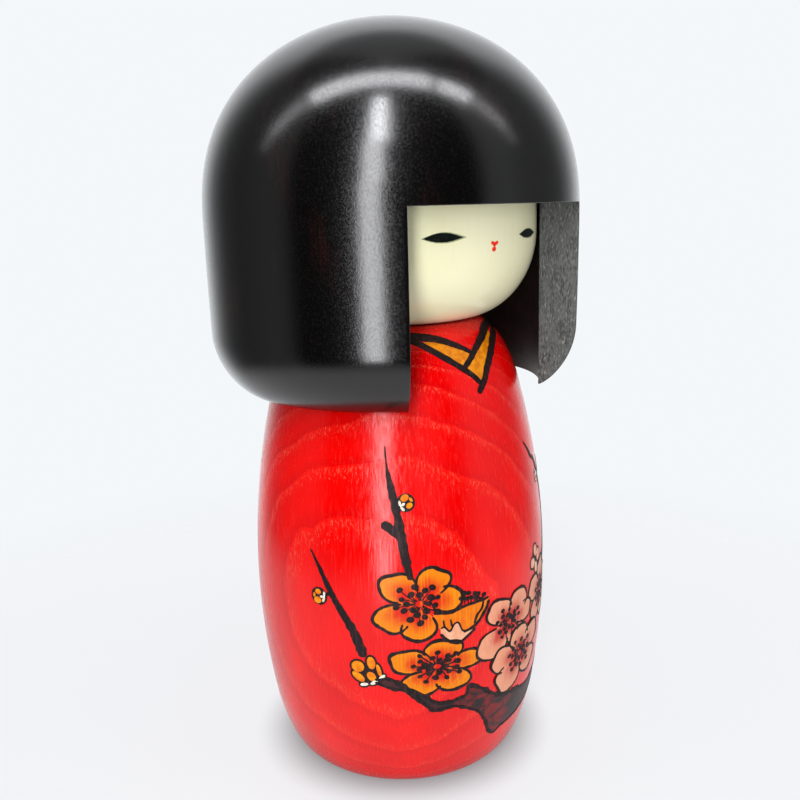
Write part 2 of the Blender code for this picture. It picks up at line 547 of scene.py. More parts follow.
def flat_paint(name, light, dark, grain_scale=500.0):
    """Opaque paint, brushed on by hand, with a slight change of depth."""
    finish = Finish(name, light, 0.34, specular=0.22)
    uneven = finish.noise(grain_scale)
    colour = finish.tint(dark, light, uneven, 0.35, 0.7)
    finish.colour(finish.tint(colour, dark, streaks(finish), 0.5, 0.8, 0.3))
    finish.relief(uneven, 0.04 * MM, 0.4)
    return finish.material


# Name, light and dark colour of each flat paint, and the scale of its grain where it is fine.
FLAT_PAINTS = {
    "bud": ("orange_bud", srgb(234, 142, 2), srgb(214, 106, 0)),
    "pink_bud": ("pink_bud", srgb(238, 186, 160), srgb(220, 146, 120)),
    "calyx": ("calyx_paint", srgb(224, 166, 132), srgb(210, 146, 112)),
    "white": ("sepal_white", srgb(240, 236, 226), srgb(214, 200, 180)),
    "ochre": ("collar_ochre", srgb(222, 140, 8), srgb(198, 106, 0)),
    "eye_rim": ("eye_rim", srgb(186, 190, 146), srgb(128, 142, 100), 2200.0),
    "lip": ("lip_red", srgb(250, 48, 10), srgb(232, 30, 6), 1500.0),
}


def face_paint():
    """Cream paint with a slight orange peel, and a trace of the fibres under it."""
    finish = Finish("face_paint", srgb(238, 234, 197), 0.22)
    broad = finish.noise(38.0, upright=0.5)
    fine = finish.noise(1400.0, 2.0, 0.6)
    colour = finish.tint(srgb(236, 233, 191), srgb(242, 237, 201), broad, 0.3, 0.7)
    finish.colour(finish.tint(colour, srgb(229, 222, 175), streaks(finish), 0.5, 0.8, 0.25))
    finish.roughness(finish.fade(fine, 0.3, 0.8, 0.16, 0.24))
    finish.relief(finish.math("MULTIPLY_ADD", fine, 0.3, broad), 0.05 * MM, 0.25)
    return finish.material


def hair_lacquer():
    """Black lacquer that shows the wood's grain, and a little brown where it is thin."""
    finish = Finish("hair_lacquer", srgb(5, 4, 4), 0.18)
    finish.put("IOR", 1.6)
    grain = finish.noise(2100.0, upright=0.7)
    wavy = finish.noise(420.0, upright=0.4)
    mottle = finish.noise(75.0, 4.0, 0.62, upright=0.4)
    fibre = finish.fade(streaks(finish), 0.35, 0.65)
    brown = finish.times(finish.fade(mottle, 0.52, 0.74), fibre)
    colour = finish.mix(finish.times(brown, 0.42), srgb(5, 4, 4), srgb(44, 14, 10))
    finish.colour(finish.tint(colour, srgb(36, 24, 22), grain, 0.62, 0.80, 0.25))
    finish.roughness(finish.fade(grain, 0.35, 0.75, 0.16, 0.25))
    finish.relief(finish.math("MULTIPLY_ADD", wavy, 0.9, grain), 0.04 * MM, 0.32)
    return finish.material


def sawn_wood():
    """The window's sawn faces: dry, stained dark grey, with the saw's and the fibres' marks."""
    finish = Finish("sawn_wood", srgb(70, 70, 67), 0.55)
    grain = finish.noise(2400.0, 3.0, 0.62, upright=0.3)
    coarse = finish.noise(420.0, 3.0, 0.6, upright=0.35)
    colour = finish.tint(srgb(28, 28, 27), srgb(86, 88, 84), grain, 0.36, 0.60)
    colour = finish.mix(finish.fade(coarse, 0.40, 0.56, 0.6, 0.0), colour, srgb(75, 76, 73))
    colour = finish.tint(colour, srgb(37, 36, 35), coarse, 0.52, 0.70, 0.75)
    colour = finish.tint(colour, srgb(140, 139, 130), grain, 0.60, 0.72, 0.8)
    finish.colour(colour)
    finish.relief(finish.math("MULTIPLY_ADD", coarse, 0.5, grain), 0.25 * MM, 0.8)
    return finish.material


def bored_wood():
    """The inside of the hair: turned and stained, without gloss."""
    finish = Finish("bored_wood", srgb(26, 14, 12), 0.5)
    turning = finish.noise(1600.0, 3.0, 0.6, level=0.08)
    blots = finish.noise(160.0, 3.0)
    colour = finish.tint(srgb(12, 7, 6), srgb(36, 17, 14), blots, 0.35, 0.7)
    finish.colour(finish.tint(colour, srgb(50, 35, 31), turning, 0.5, 0.8, 0.5))
    finish.relief(turning, 0.10 * MM, 0.5)
    return finish.material


def bare_wood():
    finish = Finish("bare_wood", srgb(196, 160, 118), 0.6)
    fibre = streaks(finish)
    finish.colour(finish.tint(srgb(176, 138, 96), srgb(212, 178, 134), fibre, 0.35, 0.7))
    finish.relief(fibre, 0.08 * MM, 0.5)
    return finish.material


def eye_paint():
    finish = Finish("eye_paint", srgb(8, 10, 9), 0.4, specular=0.2)
    brushed = finish.noise(2500.0, level=0.2)
    finish.colour(finish.tint(srgb(6, 9, 8), srgb(20, 28, 23), brushed, 0.4, 0.7))
    finish.relief(brushed, 0.02 * MM, 0.3)
    return finish.material


# ---------------------------------------------------------------- paint


PAINT_BED = 0.12 * MM  # how far a coat of paint is let into the surface under it
FILL_LIFT = 0.04 * MM
LINE_LIFT = 0.10 * MM
LINE_CROWN = 0.05 * MM  # how much a line is thicker in its middle
WOBBLE_LENGTH = 1.6 * MM
LEAN_LENGTH = 2.4 * MM
SURFACE_SAMPLES = 3000


class Coat:
    """Closed patches of paint on one turned surface, gathered into one piece."""

    def __init__(self, radius_at, z_low, z_high):
        self.heights = np.linspace(z_low, z_high, SURFACE_SAMPLES)
        self.radii = np.array([radius_at(z) for z in self.heights])
        self.slopes = np.gradient(self.radii, self.heights)
        self.verts, self.faces, self.bloom = [], [], []

    def radius(self, z):
        return np.interp(z, self.heights, self.radii)

    def place(self, angle, z, lift):
        """Points on the surface at angles and heights, lifted along its normal."""
        slope = np.interp(z, self.heights, self.slopes)
        length = np.sqrt(1 + slope * slope)
        radius = self.radius(z) + lift / length
        return np.stack(
            [radius * np.sin(angle), -radius * np.cos(angle), z - lift * slope / length], axis=-1
        )

    def stretch(self, z):
        """How much longer the surface is than its height, at z."""
        slope = np.interp(z, self.heights, self.slopes)
        return np.sqrt(1 + slope * slope)

    def add_grid(self, angle, z, lift, bloom=None, wrap=False):
        """A closed patch over a grid of points: rows run outwards, columns to the left of them."""
        rows, columns = angle.shape
        start = len(self.verts)
        top = self.place(angle, z, lift).reshape(-1, 3)
        bed = self.place(angle, z, np.full_like(z, -PAINT_BED)).reshape(-1, 3)
        self.verts.extend(top)
        self.verts.extend(bed)
        values = np.zeros(rows * columns) if bloom is None else bloom.ravel()
        self.bloom.extend(values)
        self.bloom.extend(values)
        under = rows * columns

        def at(row, column):
            return start + row * columns + column % columns

        last = columns if wrap else columns - 1
        for row in range(rows - 1):
            for c in range(last):
                quad = (at(row, c), at(row + 1, c), at(row + 1, c + 1), at(row, c + 1))
                self.faces.append(quad)
                self.faces.append(tuple(v + under for v in quad[::-1]))
        border = [(at(rows - 1, c), at(rows - 1, c + 1)) for c in range(last)]
        if wrap:
            middle = [at(0, c) for c in range(columns)]
            self.faces.append(tuple(middle))
            self.faces.append(tuple(v + under for v in middle[::-1]))
        else:
            border += [(at(0, c + 1), at(0, c)) for c in range(last)]
            border += [(at(row, 0), at(row + 1, 0)) for row in range(rows - 1)]
            border += [(at(row + 1, last), at(row, last)) for row in range(rows - 1)]
        self.faces.extend((a, a + under, b + under, b) for a, b in border)

    def disc(self, centre, outline, rings=7, lift=FILL_LIFT, dome=0.0):
        """A patch round a centre: outline has counter-clockwise (across, up) offsets in metres."""
        angle0, z0 = radians(centre[0]), centre[1] * MM
        share = np.concatenate([[0.04], np.linspace(0, 1, rings + 1)[1:]])[:, None]
        across = share * outline[:, 0]
        up = share * outline[:, 1]
        z = z0 + up / self.stretch(z0)
        angle = angle0 + across / self.radius(z0)
        lifts = lift + dome * (1 - share**2) + 0 * across
        self.add_grid(angle, z, lifts, np.broadcast_to(share, across.shape), wrap=True)

    def strip(self, stations, lift=FILL_LIFT, columns=9, bloom_at=1.0):
        """A patch between two edges: stations of (angle, lower height, upper height)."""
        table = smooth(np.array(stations, float), 0.6)
        share = np.linspace(0, 1, columns)[:, None]
        angle = np.radians(table[:, 0])[None, :] + 0 * share
        z = (table[:, 1] + (table[:, 2] - table[:, 1]) * share) * MM
        bloom = np.full_like(z, bloom_at)
        self.add_grid(angle[:, ::-1], z[:, ::-1], np.full_like(z, lift), bloom)

    def stroke(self, path, lift=LINE_LIFT, roughness=0.12, seed=0, columns=5):
        """A brushed line: stations of (angle, height, width in mm), with round ends."""
        table = smooth(np.array(path, float), 0.35)
        angle = np.radians(table[:, 0])
        z = table[:, 1] * MM
        width = table[:, 2] * MM
        radius = self.radius(z)
        stretch = self.stretch(z)
        across = np.gradient(angle) * radius
        up = np.gradient(z) * stretch
        length = np.hypot(across, up)
        run = np.concatenate([[0], np.cumsum((length[1:] + length[:-1]) / 2)])
        wobble = np.array([noise.noise(Vector((s / WOBBLE_LENGTH, seed * 7.3, 0))) for s in run])
        lean = np.array([noise.noise(Vector((s / LEAN_LENGTH, seed * 3.1, 9))) for s in run])
        half = width / 2 * (1 + 2 * roughness * wobble)
        for distance, reach in ((run, half[0]), (run[-1] - run, half[-1])):
            t = np.clip(distance / max(reach, 1e-6), 0.02, 1)
            half = half * np.sqrt(1 - (1 - t) ** 2)
        share = np.linspace(1, -1, columns)[:, None]
        offset = share * half + roughness * lean * half
        side_across, side_up = -up / length, across / length
        angles = angle + offset * side_across / radius
        heights = z + offset * side_up / stretch
        lifts = lift + LINE_CROWN * np.sqrt(1 - share**2) + 0 * offset
        self.add_grid(angles, heights, lifts)

    def piece(self, name, material):
        made = add_piece(name, self.verts, self.faces, [material])
        bloom = made.data.attributes.new("bloom", "FLOAT", "POINT")
        bloom.data.foreach_set("value", np.array(self.bloom, np.float32))
        made.data.set_sharp_from_angle(angle=radians(60))
        return made


def smooth(points, step):
    """A smooth curve through the points, in steps of about this much in their first two columns."""
    if len(points) == 2:
        middle = (points[0] + points[1]) / 2
        points = np.array([points[0], middle, points[1]])
    first = 2 * points[0] - points[1]
    last = 2 * points[-1] - points[-2]
    padded = np.vstack([first, points, last])
    out = []
    for i in range(1, len(padded) - 2):
        a, b, c, d = padded[i - 1 : i + 3]
        count = max(2, int(np.hypot(*(c - b)[:2]) / step))
        for t in np.arange(count) / count:
            out.append(
                b
                + 0.5 * t * (c - a)
                + t * t * (a - 2.5 * b + 2 * c - 0.5 * d)
                + t**3 * (-0.5 * a + 1.5 * b - 1.5 * c + 0.5 * d)
            )
    out.append(padded[-2])
    return np.array(out)


def body_coat():
    return Coat(body_radius, 0.5 * MM, BODY_TOP_Z - 0.1 * MM)


def face_coat():
    return Coat(face_radius, FACE_LOW.z + 0.3 * MM, FACE_HIGH.z)


def oval(across, up, tilt=0.0, count=28):
    """Offsets in metres of an oval with half-widths given in mm."""
    t = np.linspace(0, 2 * pi, count, endpoint=False)
    x, y = across * MM * np.cos(t), up * MM * np.sin(t)
    turn = radians(tilt)
    return np.stack([x * cos(turn) - y * sin(turn), x * sin(turn) + y * cos(turn)], axis=-1)


GOLDEN_SHARE = 0.618
HEART_REACH = 0.06  # how far the paint reaches where two petals leave a gap
LOBE_POWER = 0.36  # a petal's end: 0.5 would be an ellipse's, and less is blunter
LAYER_STEP = 0.13 * MM  # how far a blossom's paint lies over the blossom under it
OUTLINE_TAIL = 6  # how far a petal's outline runs on past its notches, in degrees


class Blossom:
    """A five-petalled blossom. Higher layers lie over lower ones.

    A petal is (direction, reach, spread): its direction and half its spread in degrees, and its
    reach as a share of the blossom's size, which is its half-width and half-height in mm.
    """

    def __init__(self, centre, size, seed, petals, layer=0):
        self.centre, self.size, self.petals = centre, size, petals
        self.seed, self.layer = seed, layer * LAYER_STEP

    def lobe(self, petal, turn):
        direction, reach, spread = petal
        apart = (np.degrees(turn) - direction + 180) % 360 - 180
        return reach * np.clip(1 - (apart / spread) ** 2, 0, 1) ** LOBE_POWER

    def offsets(self, turn, reach):
        """Offsets in metres across and up the surface, for directions and reaches in the flower."""
        wobble = 1 + 0.025 * np.sin(7 * turn + self.seed) + 0.02 * np.sin(11 * turn + 2 * self.seed)
        x = self.size[0] * MM * reach * wobble * np.cos(turn)
        y = self.size[1] * MM * reach * wobble * np.sin(turn)
        return np.stack([x, y], axis=-1)

    def fill(self, coat):
        turn = np.linspace(0, 2 * pi, 150, endpoint=False)
        reach = np.max([self.lobe(p, turn) for p in self.petals], axis=0)
        reach = np.maximum(reach, HEART_REACH)
        coat.disc(self.centre, self.offsets(turn, reach), rings=9, lift=FILL_LIFT + self.layer)

    def to_path(self, coat, offsets, widths):
        z0 = self.centre[1]
        angle = self.centre[0] + np.degrees(offsets[:, 0] / coat.radius(z0 * MM))
        z = z0 + offsets[:, 1] / MM / coat.stretch(z0 * MM)
        return np.stack([angle, z, widths], axis=-1)

    def outline(self, coat, width):
        """One line round each petal, from notch to notch and a little way in."""
        for k, petal in enumerate(self.petals):
            others = [p for p in self.petals if p is not petal]
            apart = np.arange(1.0 - petal[2], petal[2] - 0.99, 1.0)
            turn = np.radians(petal[0] + apart)
            mine = self.lobe(petal, turn)
            theirs = np.max([self.lobe(p, turn) for p in others], axis=0)
            shown = np.flatnonzero(mine >= theirs)
            ends = slice(max(0, shown[0] - OUTLINE_TAIL), shown[-1] + OUTLINE_TAIL + 1, 3)
            turn, mine = turn[ends], mine[ends]
            swell = width * (0.8 + 0.4 * np.sin(np.linspace(0, pi, len(turn))))
            path = self.to_path(coat, self.offsets(turn, mine), swell)
            coat.stroke(path, lift=LINE_LIFT + self.layer, seed=self.seed + k, roughness=0.2)

    def stamens(self, coat, count, reach, dot, stalk):
        """Stalks that end in dots, spread evenly over the reaches between the two given.

        dot holds a dot's half-widths, and stalk is a stalk's width, in mm.
        """
        rng = random.Random(self.seed)
        lift = LINE_LIFT + self.layer
        for k in range(count):
            turn = 2 * pi * (k + 0.35 * rng.uniform(-1, 1)) / count
            far = reach[0] + (reach[1] - reach[0]) * (k * GOLDEN_SHARE % 1)
            bend = np.array([0.0, 0.12 * rng.uniform(-1, 1), 0.0])
            points = self.offsets(turn + bend, np.array([0.08, far * 0.55, far]))
            path = self.to_path(coat, points, np.array([stalk * 1.3, stalk, stalk]))
            coat.stroke(path, lift=lift, seed=self.seed * 5 + k)
            grow = rng.uniform(0.8, 1.15)
            head = self.to_path(coat, points[-1:], np.zeros(1))[0]
            shape = oval(dot[0] * grow, dot[1] * grow, rng.uniform(-30, 30), 16)
            coat.disc(head[:2], shape, rings=3, lift=lift + 0.03 * MM, dome=0.06 * MM)


# ---- the painted branch

ORANGE_BLOSSOMS = (
    Blossom(
        (-33.4, 67.4), (14.5, 12), seed=3, petals=(
            (135, 1, 42), (62, 1, 38), (5, 0.95, 38), (-91, 1.02, 38), (-146, 1.07, 37),
        ),
    ),
    Blossom(
        (-27.3, 46.1), (15, 9.6), seed=8, petals=(
            (158, 1.02, 46), (76, 0.92, 50), (7, 1.02, 34), (-58, 1.06, 40), (-119, 1.06, 44),
        ),
    ),
)
PINK_BLOSSOMS = (
    Blossom(
        (30, 57), (12, 11.5), seed=12, petals=(
            (155, 1, 42), (84, 1, 40), (18, 1, 42), (-60, 0.95, 44), (-132, 0.95, 42),
        ),
    ),
    Blossom(
        (3.6, 54.4), (13.2, 10.4), seed=5, layer=1, petals=(
            (126, 0.96, 48), (56, 1.06, 36), (8, 0.98, 36), (-60, 0.9, 44), (-134, 1.24, 42),
        ),
    ),
    Blossom(
        (11.4, 40.8), (14, 11.5), seed=9, layer=2, petals=(
            (172, 1, 42), (96, 0.9, 46), (34, 1, 40), (-42, 0.95, 46), (-124, 1.12, 44),
        ),
    ),
)

# Stations along each twig: angle, height, width.
TWIGS = (
    # left twig, down to the bud cluster
    (
        (-73.5, 82.4, 0.5), (-69.3, 76.6, 1.4), (-65.4, 70.2, 2), (-60.9, 63.8, 2.4),
        (-57.5, 59, 2.9), (-55.1, 54, 3.2), (-53.6, 49.7, 2.8),
    ),
    ((-68, 68.4, 1), (-65.6, 69.4, 1.6)),
    # middle twig, down to the upper blossom
    (
        (-44.4, 115, 0.3), (-43.8, 109, 0.7), (-43.3, 106.5, 1.5), (-42.2, 102, 2),
        (-40.3, 95, 2.3), (-39, 88, 2.9), (-37.6, 81, 2.7), (-36.2, 75, 2.3),
    ),
    ((-46, 92.3, 3), (-43, 91, 2.7), (-39.6, 88.4, 2.4)),
    ((-39.6, 97.2, 1.5), (-38.2, 97.6, 1.5)),
    # right twig, round the doll's left side
    (
        (22.8, 109, 0.4), (26.5, 106, 1), (29.5, 103, 1.4), (33.5, 101, 1.5),
        (37, 95.5, 1.8), (41, 87, 2.1), (42, 78, 2.5), (38.8, 70.5, 2.7),
        (34, 65.5, 2.4),
    ),
    ((37.5, 95, 1.2), (41.5, 96.5, 1), (45, 100, 0.5)),
    # far end of the branch, rising on the doll's left side
    ((47, 28.2, 3.8), (56, 33.5, 3.1), (63, 41, 2.4), (67.5, 50, 1.7), (69.5, 60, 0.5)),
    ((61, 38.5, 2.2), (70, 40.5, 1.6), (77, 45, 0.5)),
)

# Stations along the branch: angle, lower edge, upper edge.
BRANCH = (
    (-50, 41.4, 42.2), (-46.5, 40, 42.8), (-43, 39, 42), (-39.7, 38.4, 40.4),
    (-35.5, 36, 37.9), (-31.5, 32.8, 36), (-28.6, 30.4, 33.8), (-24.8, 30.4, 32.6),
    (-20, 30.6, 32.9), (-16, 29.2, 33.8), (-14, 28.4, 36.8), (-9, 25.6, 34.6),
    (-5.5, 21.4, 32.4), (-3, 16.8, 30.8), (0.3, 14.3, 29.4), (4.9, 15.3, 28), (11.6, 16, 27),
    (22, 17.5, 25.2), (32, 20.5, 26.5), (42, 24.5, 28.8), (50, 29, 31.6),
)

# The collar's lines, as the twigs, and the cloth between them, as the branch.
COLLAR_LINES = (
    (
        (-180, 145.9, 1.7), (-120, 145.9, 1.8), (-60, 145.8, 2.2), (-31, 145.1, 3),
        (-16.5, 143.9, 2.7), (-7.5, 141.9, 2.2), (-2.5, 140.4, 1.8), (1.5, 138.9, 1.5),
    ),
    (
        (-36, 145, 1.4), (-26, 142.7, 2), (-17.2, 139.4, 2.1), (-8.4, 135.6, 2),
        (-3, 132.8, 1.9), (0.6, 130.2, 1.8),
    ),
    (
        (180, 145.9, 1.7), (120, 145.9, 1.8), (60, 145.9, 2), (28, 145.2, 2.8),
        (13.5, 142.8, 2.7), (5.5, 140.6, 2.1), (0, 138.4, 1.9), (-6.8, 135.4, 1.7),
    ),
    (
        (52, 144.8, 1.6), (38, 143.9, 2.4), (24, 141.6, 2.9), (14.7, 138.4, 2.8),
        (7.5, 134.6, 2.5), (3, 131, 2.3), (-2, 127.6, 2.1),
    ),
)
COLLAR_FILLS = (
    (
        (-24.5, 142, 143.4), (-20, 140.2, 143.4), (-13, 137.6, 142.6), (-8, 135.5, 141.6),
        (-4, 136, 140.6), (-0.8, 138.4, 139.4),
    ),
    (
        (-4.6, 133.4, 136), (-1.5, 132, 138), (2, 131.4, 139.2), (6, 134, 140.4),
        (11, 136.8, 141.8), (18, 139.9, 142.8), (26, 142.2, 144.2),
    ),
)


def painted_branch(materials):
    bark_coat, line = body_coat(), body_coat()
    bark_coat.strip(BRANCH, columns=15)
    lower = [(a, low, 1.2 + 0.4 * sin(a)) for a, low, _ in BRANCH]
    upper = [(a, high, 1.4 + 0.4 * cos(a)) for a, _, high in BRANCH]
    line.stroke(lower, seed=61, roughness=0.35)
    line.stroke(upper, seed=62, roughness=0.35)
    for k, path in enumerate(TWIGS):
        line.stroke(path, seed=20 + k, roughness=0.16, columns=7)
    return [
        bark_coat.piece("branch", materials["bark"]),
        line.piece("twigs", materials["ink"]),
    ]


# The half-open blossom's petals and its calyx, as the branch.
SIDE_PETALS = (
    (-28.6, 60.6, 63.9), (-25, 57.6, 63.6), (-21.5, 56.4, 63.5), (-17.4, 56.2, 64.6),
    (-13, 57.4, 65.1), (-9.7, 60.1, 65.2), (-7.6, 62.8, 65.5), (-6.7, 64.8, 65.6),
)
SIDE_CALYX = (
    (-26, 57.2, 58.6), (-24.6, 55.6, 58.9), (-22.6, 54.2, 57.3), (-21, 53.6, 59.4),
    (-19.3, 53.3, 59.5), (-17.7, 53.8, 56.7), (-15.2, 55.2, 56.7), (-12.6, 57, 57.4),
)
SIDE_FOLD = ((-13.0, 58.0, 0.8), (-12.0, 60.6, 0.9), (-9.9, 62.6, 0.8), (-9.1, 64.9, 0.8))


def side_blossom(fill, line, calyx):
    """A half-open orange blossom seen from the side, over its pale calyx."""
    fill.strip(SIDE_PETALS, bloom_at=0.75)
    calyx.strip(SIDE_CALYX, lift=0.07 * MM)
    line.stroke([(a, high, 0.9) for a, _, high in SIDE_PETALS], seed=70, roughness=0.2)
    line.stroke([(a, low, 1.1) for a, low, _ in SIDE_PETALS[3:]], seed=71, roughness=0.2)
    line.stroke([(a, low - 0.3, 1.0) for a, low, _ in SIDE_CALYX], seed=73, lift=0.12 * MM)
    line.stroke([(a, high + 0.1, 0.6) for a, _, high in SIDE_CALYX], seed=74, lift=0.12 * MM)
    line.stroke(SIDE_FOLD, seed=72)
    for angle in (-25.0, -22.3):
        line.stroke(((angle, 61.4, 0.5), (angle + 0.4, 58.8, 0.9)), seed=75)


def side_stamens(coat):
    """The stamens that show over the side-view blossom's edge."""
    rng = random.Random(31)
    for k in range(10):
        angle = -17.8 + 0.95 * k + rng.uniform(-0.4, 0.4)
        z = 68.2 - 0.24 * k + (1.1 if k % 2 else -0.6) + rng.uniform(-0.3, 0.3)
        shape = oval(0.9, 0.75, rng.uniform(-40, 40), 16)
        coat.disc((angle, z), shape, rings=3, lift=LINE_LIFT, dome=0.05 * MM)
        if k % 3:
            coat.stroke(((angle, z, 0.35), (angle + rng.uniform(-0.5, 0.8), 65.2, 0.5)), seed=k)


# A round bud, in shares of its size: along the way that it faces, and aside of that.
BUD_PETALS = ((0.20, 0.48, 0.46, 0.36), (0.12, -0.46, 0.36, 0.30), (0.62, -0.05, 0.16, 0.26))
BUD_SEPAL_TIPS = ((-0.42, 0.60), (-0.10, 0.04), (-0.62, -0.60))


def bud(centre, size, fill, line, sepal, facing):
    """A dark disc with three petals on it, and white sepals where it meets the twig."""
    line.disc(centre, oval(size, size, 0, 26), rings=3, lift=0.05 * MM)
    turn = radians(facing)

    def spot(along, aside):
        across = (cos(turn) * along - sin(turn) * aside) * size
        up = (sin(turn) * along + cos(turn) * aside) * size
        return (centre[0] + math.degrees(across * MM / line.radius(centre[1] * MM)), centre[1] + up)

    for along, aside, wide, tall in BUD_PETALS:
        shape = oval(size * wide, size * tall, facing, 18)
        fill.disc(spot(along, aside), shape, rings=3, lift=0.09 * MM)
    for along, aside in BUD_SEPAL_TIPS:
        start, end = spot(-0.70, 0.0), spot(along, aside)
        sepal.stroke((start + (0.6,), end + (0.9,)), lift=0.12 * MM, seed=7)


BUD_CLUSTER = (
    # angle, height, half-widths across and up, tilt
    (-56, 46.4, 2, 1.9, 0),
    (-51, 48, 1.3, 2.1, 8),
    (-48.3, 45.6, 0.65, 2.1, 14),
    (-51.1, 43.3, 1.3, 1.7, 35),
    (-56, 42.9, 2.3, 1.2, -38),
)
CLUSTER_SEPALS = ((-54, 40.3, 12), (-50.3, 41.2, 30), (-47.3, 43.2, 42))
PINK_BUDS = (
    (20.6, 69, 1.5, 1.7, -20), (23.6, 72.6, 1.3, 2, 10), (26.6, 70.4, 1.3, 2, -10),
    (24, 66.8, 1.1, 1.9, 5),
)


def bud_cluster(centre, half_widths, petals, fill, line):
    """Buds that stand close together, each an oval with a dark line round it."""
    line.disc(centre, oval(*half_widths, 0, 28), rings=4, lift=0.05 * MM)
    for angle, z, wide, tall, tilt in petals:
        line.disc((angle, z), oval(wide + 0.7, tall + 0.7, tilt, 28), rings=3, lift=0.07 * MM)
        fill.disc((angle, z), oval(wide, tall, tilt, 28), rings=3, lift=0.12 * MM)


def cluster_sepals(line, sepal):
    for angle, z, tilt in CLUSTER_SEPALS:
        line.disc((angle, z), oval(1.9, 1.2, tilt, 22), rings=3, lift=0.075 * MM)
        sepal.disc((angle, z), oval(1.3, 0.55, tilt, 20), rings=3, lift=0.13 * MM)


def painted_blossoms(materials):
    orange, pink, calyx, sepal, buds, pink_bud = (body_coat() for _ in range(6))
    line, stamen = body_coat(), body_coat()
    for flower in ORANGE_BLOSSOMS:
        flower.fill(orange)
        flower.outline(line, 0.92)
    ORANGE_BLOSSOMS[0].stamens(stamen, 21, reach=(0.20, 0.56), dot=(1.10, 0.90), stalk=0.32)
    ORANGE_BLOSSOMS[1].stamens(stamen, 23, reach=(0.20, 0.60), dot=(1.05, 0.78), stalk=0.5)
    side_blossom(orange, line, calyx)
    side_stamens(stamen)
    for flower in PINK_BLOSSOMS:
        flower.fill(pink)
        flower.outline(line, 0.72)
        flower.stamens(stamen, 24, reach=(0.14, 0.52), dot=(0.88, 0.74), stalk=0.25)
    bud_cluster((-52.4, 44.6), (4.4, 3.4), BUD_CLUSTER, buds, line)
    cluster_sepals(line, sepal)
    bud_cluster((23.8, 69.6), (3.2, 4.2), PINK_BUDS, pink_bud, line)
    bud((-70.0, 67.9), 2.9, buds, line, sepal, 180)
    bud((-37.1, 98.4), 2.8, buds, line, sepal, 35)
    bud((33.2, 95.4), 2.2, pink_bud, line, sepal, 230)
    return [
        orange.piece("orange_petals", materials["orange"]),
        pink.piece("pink_petals", materials["pink"]),
        calyx.piece("calyx", materials["calyx"]),
        buds.piece("orange_buds", materials["bud"]),
        pink_bud.piece("pink_buds", materials["pink_bud"]),
        sepal.piece("sepals", materials["white"]),
        line.piece("petal_outlines", materials["ink"]),
        stamen.piece("stamens", materials["ink"]),
    ]


def painted_collar(materials):
    fill, line = body_coat(), body_coat()
    for stations in COLLAR_FILLS:
        fill.strip(stations)
    for k, path in enumerate(COLLAR_LINES):
        line.stroke(path, seed=90 + k, roughness=0.07, columns=7)
    return [
        fill.piece("collar_lining", materials["ochre"]),
        line.piece("collar_lines", materials["ink"]),
    ]


EYE_STATIONS = (
    # angle from the eye's middle, lower and upper edge over the eye's line, in mm
    (-7.2, -0.10, 0.02), (-5.6, -0.50, 0.50), (-3.6, -0.95, 1.05), (-1.2, -1.15, 1.40),
    (1.2, -1.12, 1.40), (3.4, -0.85, 1.08), (5.4, -0.42, 0.60), (7.4, -0.02, 0.10),
)
EYE_ANGLE = 21.8
EYE_Z = 174.4

# The mouth's dots: angle, height, lift in mm, and the oval's half-widths, tilt and sides.
MOUTH_DOTS = (
    (-1.2, 172.35, 0.06, (0.82, 0.52, -24, 20)),
    (0.5, 172.35, 0.06, (0.82, 0.52, 24, 20)),
    (-0.35, 171.8, 0.07, (0.55, 0.45, 0, 18)),
    (-0.45, 170.65, 0.06, (0.78, 0.72, 0, 20)),
)


def painted_face(materials):
    eyes, rims, mouth = face_coat(), face_coat(), face_coat()
    for sign in (-1, 1):
        middle = sign * EYE_ANGLE
        stations = [(middle + a, EYE_Z + low, EYE_Z + high) for a, low, high in EYE_STATIONS]
        eyes.strip(stations, lift=0.07 * MM, columns=7)
        rim = [
            (middle + 1.12 * a + 0.4, EYE_Z + 1.2 * low - 0.05, EYE_Z + 1.12 * high)
            for a, low, high in EYE_STATIONS
        ]
        rims.strip(rim, lift=0.03 * MM, columns=7)
    for angle, z, lift, shape in MOUTH_DOTS:
        mouth.disc((angle, z), oval(*shape), rings=3, lift=lift * MM)
    return [
        rims.piece("eye_rims", materials["eye_rim"]),
        eyes.piece("eyes", materials["eye"]),
        mouth.piece("mouth", materials["lip"]),
    ]


# ---------------------------------------------------------------- stage


FLOOR_RADIUS = 0.75
FLOOR_RINGS = 10
# Painted shadow: the floor's glow dims towards the doll's foot, where a contact shadow would fall.
PAINTED_FOOT_SHADOW = (0.034, 0.055, 0.24, 0.75)  # two distances from the axis, and the floor's glow there
FLOOR_EDGE = (0.18, 0.34)  # the distances between which the floor thins out


def studio_floor():
    """A pale round floor that glows and thins out into the backdrop; its glow dims near the doll's
    foot as a painted shadow.
    """
    finish = Finish("studio_floor", (0.12, 0.12, 0.124), 0.6, specular=0.2)
    finish.put("Emission Color", (0.97, 0.98, 1.0))
    away = finish.distance()
    # The glow fades near the doll's foot: a painted contact shadow on the floor.
    finish.put("Emission Strength", finish.fade(away, *PAINTED_FOOT_SHADOW))
    clear = finish.node("ShaderNodeBsdfTransparent")
    blend = finish.node("ShaderNodeMixShader")
    finish.feed(blend.inputs[0], finish.fade(away, *FLOOR_EDGE))
    finish.feed(blend.inputs[1], finish.shader.outputs[0])
    finish.feed(blend.inputs[2], clear.outputs[0])
    output = finish.tree.nodes["Material Output"]
    finish.feed(output.inputs["Surface"], blend.outputs[0])
    rings = [(FLOOR_RADIUS * k / FLOOR_RINGS, 0.0) for k in range(FLOOR_RINGS + 1)]
    floor = turned_piece("floor", rings, finish.material, sides=96)


